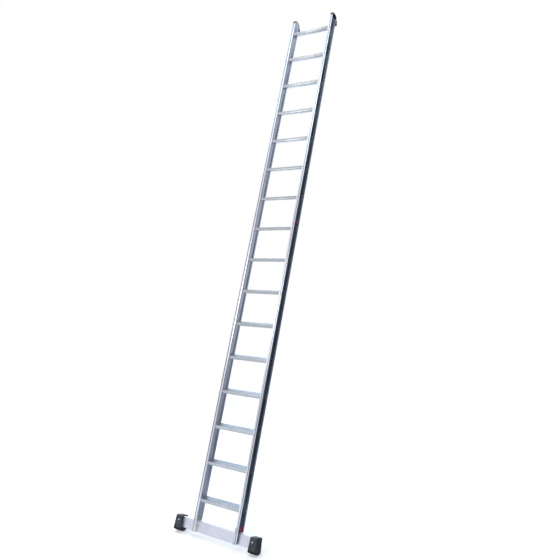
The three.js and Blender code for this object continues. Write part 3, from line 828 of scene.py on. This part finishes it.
for name, side in SIDES:
    boot = soften(copy_of(f"{name}_foot", f"{name}_boot"), BOOT_ROUND, segments=4, angle=30)
    low, high = span(f"{name}_foot")
    screw_low, screw_high = span(f"{name}_foot_screw")
    screw = (screw_low + screw_high) / 2
    inset = Vector((PANEL_MARGIN, 0, 2 * PANEL_MARGIN))
    panel_low = Vector((low.x, low.y - PANEL_DEPTH, low.z)) + inset
    panel_high = Vector((high.x, low.y + PANEL_DEPTH, high.z + PANEL_MARGIN)) - inset
    panel = box_between("panel", panel_low, panel_high)
    front = Vector((screw.x, low.y - 2 * PANEL_DEPTH, screw.z))
    back = Vector((screw.x, low.y + 2 * PANEL_DEPTH, screw.z))
    cut(panel, rod("boss", BOSS_RADIUS, front, back))
    cut(boot, panel)
    soften(boot, PANEL_ROUND, segments=2, angle=60)
    finish_piece(boot, BOOT_PLASTIC, "foot_plastic", f"{name}_foot", smooth=30)

# %% [markdown]
# ## Rubber soles
# The sole is a curved slab, so that some part of it lies flat whatever the ladder's lean. Grooves across
# it keep its grip on a wet floor. They are cut between the flats with thin blades.

# %% Rubber soles
SOLE_RADIUS = 70 * MM
GROOVE_WIDTH = 2.4 * MM
GROOVE_DEPTH = 2.2 * MM
FACET = math.radians(8)
OVERCUT = 5 * MM
BLADE_HEIGHT = 10 * MM
LAST_GROOVE = 4  # on each side of the middle one

for name, side in SIDES:
    sole = copy_of(f"{name}_foot_sole", f"{name}_rubber_sole")
    low, high = span(f"{name}_foot_sole")
    hub = Vector((0, (low.y + high.y) / 2, low.z + SOLE_RADIUS))
    soften(sole, 1.2 * MM, segments=3, angle=30)
    for step in range(-LAST_GROOVE, LAST_GROOVE + 1):
        angle = step * FACET
        outward = Vector((0, math.sin(angle), -math.cos(angle)))
        blade = box_between(
            "blade",
            Vector((low.x - OVERCUT, -GROOVE_WIDTH / 2, -GROOVE_DEPTH)),
            Vector((high.x + OVERCUT, GROOVE_WIDTH / 2, BLADE_HEIGHT)),
        )
        turned = Matrix.Rotation(angle + math.pi, 4, "X")
        blade.data.transform(Matrix.Translation(hub + outward * SOLE_RADIUS) @ turned)
        cut(sole, blade)
    finish_piece(sole, SOLE_RUBBER, "rubber", f"{name}_foot_sole", smooth=30)

# %% [markdown]
# ## Screws, bolts and rivets
# A pan-head screw with a cross recess holds each boot. Flanged hex bolts hold the bar from behind, and
# blind rivets with a small dimple hold the brackets.

# %% Pan-head screws
HEAD_RADIUS = 6 * MM
HEAD_HEIGHT = 3.3 * MM
SHANK_RADIUS = 3 * MM
PAD_HEAD_RADIUS = 4.2 * MM
PAD_HEAD_HEIGHT = 3 * MM
PAD_SHANK_RADIUS = 2.5 * MM


def cross_recess(place, direction, size, depth):
    """Two crossed blades at a screw's head, to be cut out of it."""
    blades = []
    for turn in (0, math.pi / 2):
        blade = box_between("blade", Vector((-size, -size / 4, -depth)), Vector((size, size / 4, depth)))
        spin = direction.to_track_quat("Z", "Y").to_matrix().to_4x4()
        blade.data.transform(Matrix.Translation(place) @ spin @ Matrix.Rotation(turn, 4, "Z"))
        blades.append(blade)
    return blades


def pan_head(name, tip, direction, radius, height, shank_radius, shank_length):
    """A screw whose head's top is at tip and whose shank runs the other way."""
    head = rod(name, radius, tip - direction * height, tip)
    bpy.ops.object.mode_set(mode="EDIT")
    pick(head, "edges", lambda e: all((v.co - tip).dot(direction) > -0.1 * MM for v in e.verts))
    bpy.ops.mesh.bevel(offset=0.45 * height, segments=4)
    pick(head, "faces", lambda f: f.normal.dot(direction) < -0.99 and len(f.verts) > 4)
    bpy.ops.mesh.inset(thickness=radius - shank_radius)
    bpy.ops.mesh.extrude_region_move(TRANSFORM_OT_translate={"value": -direction * shank_length})
    bpy.ops.object.mode_set(mode="OBJECT")
    return cut(head, *cross_recess(tip, direction, 0.5 * radius, 0.45 * height))


FRONT = Vector((0, -1, 0))
for name, side in SIDES:
    low, high = span(f"{name}_foot_screw")
    tip = Vector(((low.x + high.x) / 2, low.y, (low.z + high.z) / 2))
    shank = high.y - low.y - HEAD_HEIGHT
    screw = pan_head(f"{name}_boot_screw", tip, FRONT, HEAD_RADIUS, HEAD_HEIGHT, SHANK_RADIUS, shank)
    finish_piece(screw, ZINC, "zinc_steel", f"{name}_foot_screw")
    low, high = span(f"{name}_pad_screw")
    tip = Vector(((low.x + high.x) / 2, low.y, (low.z + high.z) / 2))
    shank = high.y - low.y - PAD_HEAD_HEIGHT
    screw_name = f"{name}_wall_pad_screw"
    screw = pan_head(screw_name, tip, FRONT, PAD_HEAD_RADIUS, PAD_HEAD_HEIGHT, PAD_SHANK_RADIUS, shank)
    finish_piece(screw, ZINC, "zinc_steel", f"{name}_pad_screw")

# %% [markdown]
# The bolts are already true in the frame: a hex head forged in one piece with its flange. Copies keep
# that shape and lose their sharp edges.

# %% Flanged hex bolts
for name, side in SIDES:
    for number in (1, 2):
        node = f"{name}_bar_bolt_{number}"
        bolt = soften(copy_of(node, f"{name}_flange_bolt_{number}"), 0.5 * MM)
        finish_piece(bolt, ZINC, "zinc_steel", node)

# %% [markdown]
# A blind rivet is a domed tube that a pin was pulled through. The dimple in its dome is where the pin
# snapped.

# %% Blind rivets
RIVET_RADIUS = 4.4 * MM
RIVET_HEIGHT = 3 * MM
DOME = 2.2 * MM
DIMPLE_RIM = 0.9 * MM
DIMPLE_DEPTH = 1.2 * MM
RIVET_SHOULDER = 2 * MM

for name, side in SIDES:
    inward = Vector((-side, 0, 0))
    for number in (1, 2):
        node = f"{name}_bracket_rivet_{number}"
        low, high = span(node)
        axis = (low + high) / 2
        tip = Vector((low.x if side > 0 else high.x, axis.y, axis.z))
        rivet = rod(f"{name}_blind_rivet_{number}", RIVET_RADIUS, tip - inward * RIVET_HEIGHT, tip, sides=24)
        bpy.ops.object.mode_set(mode="EDIT")
        pick(rivet, "edges", lambda e: all((v.co - tip).dot(inward) > -0.1 * MM for v in e.verts))
        bpy.ops.mesh.bevel(offset=DOME, segments=5)
        pick(rivet, "faces", lambda f: f.normal.dot(inward) > 0.99 and len(f.verts) > 4)
        bpy.ops.mesh.inset(thickness=DIMPLE_RIM)
        bpy.ops.mesh.extrude_region_move(TRANSFORM_OT_translate={"value": -inward * DIMPLE_DEPTH})
        pick(rivet, "faces", lambda f: f.normal.dot(inward) < -0.99 and len(f.verts) > 4)
        bpy.ops.mesh.inset(thickness=RIVET_SHOULDER)
        shank = -inward * (high.x - low.x - RIVET_HEIGHT)
        bpy.ops.mesh.extrude_region_move(TRANSFORM_OT_translate={"value": shank})
        bpy.ops.object.mode_set(mode="OBJECT")
        finish_piece(rivet, ZINC, "zinc_steel", node)

# %% [markdown]
# ## Top caps
# A cap is a moulded band that bends over the stile's rounded end, with a plug that holds it in the stile.
# The node already has that shape, so a copy of it is kept and its edges get the mould's radius.

# %% Top caps
for name, side in SIDES:
    cap = soften(copy_of(f"{name}_top_cap", f"{name}_end_cap"), 1.8 * MM, segments=4, angle=40)
    finish_piece(cap, CAP_PLASTIC, "cap_plastic", f"{name}_top_cap", smooth=35)

# %% [markdown]
# ## Wall pads
# The pad is a wedge that stands upright against the wall at the working lean. Its corners are well
# rounded, and four grooves across its face keep it from slipping.

# %% Wall pads
PAD_GROOVES = 4
PAD_GROOVE_WIDTH = 2.5 * MM
PAD_GROOVE_DEPTH = 1.8 * MM

for name, side in SIDES:
    pad = copy_of(f"{name}_wall_pad", f"{name}_wedge_pad")
    soften(pad, 3 * MM, segments=5, angle=40)
    pad.data.transform(LEANING)
    low, high = (Vector(corner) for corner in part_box(f"{name}_wall_pad"))
    upright_low, upright_high = span(f"{name}_wall_pad")
    face = (upright_high.z - upright_low.z) / math.cos(LEAN)
    for number in range(1, PAD_GROOVES + 1):
        z = low.z + number * face / (PAD_GROOVES + 1)
        start = Vector((low.x - MM, high.y - PAD_GROOVE_DEPTH, z - PAD_GROOVE_WIDTH / 2))
        end = Vector((high.x + MM, high.y + MM, z + PAD_GROOVE_WIDTH / 2))
        cut(pad, box_between("blade", start, end))
    finish_piece(pad, CAP_PLASTIC, "cap_plastic", f"{name}_wall_pad", upright=False)

# %% [markdown]
# ## Stickers
# Two plain red stickers are on the right stile's outer web, one just above the bar and a small one half
# way up. They are printed vinyl, a little faded and dusty.

# %% Stickers
sticker, tree = new_material("printed_vinyl")
place = add(tree, "ShaderNodeTexCoord").outputs["Object"]
fade = add(tree, "ShaderNodeTexNoise", {"Vector": place, "Scale": 1 / (9 * MM), "Detail": 5.0})
faded = ramp(tree, fade.outputs["Fac"], 0.35, 0.75)
reds = {"Factor": faded, "A": colour("#d42a58"), "B": colour("#dc5578")}
tint = add(tree, "ShaderNodeMix", reds, data_type="RGBA")
vinyl = add(tree, "ShaderNodeBsdfPrincipled", {"Base Color": tint.outputs["Result"], "Roughness": 0.4})
add(tree, "ShaderNodeOutputMaterial", {"Surface": vinyl.outputs[0]})
for place_name in ("lower", "upper"):
    label = soften(copy_of(f"{place_name}_label", f"{place_name}_red_sticker"), 0.1 * MM, segments=2)
    finish_piece(label, sticker, "label", f"{place_name}_label")
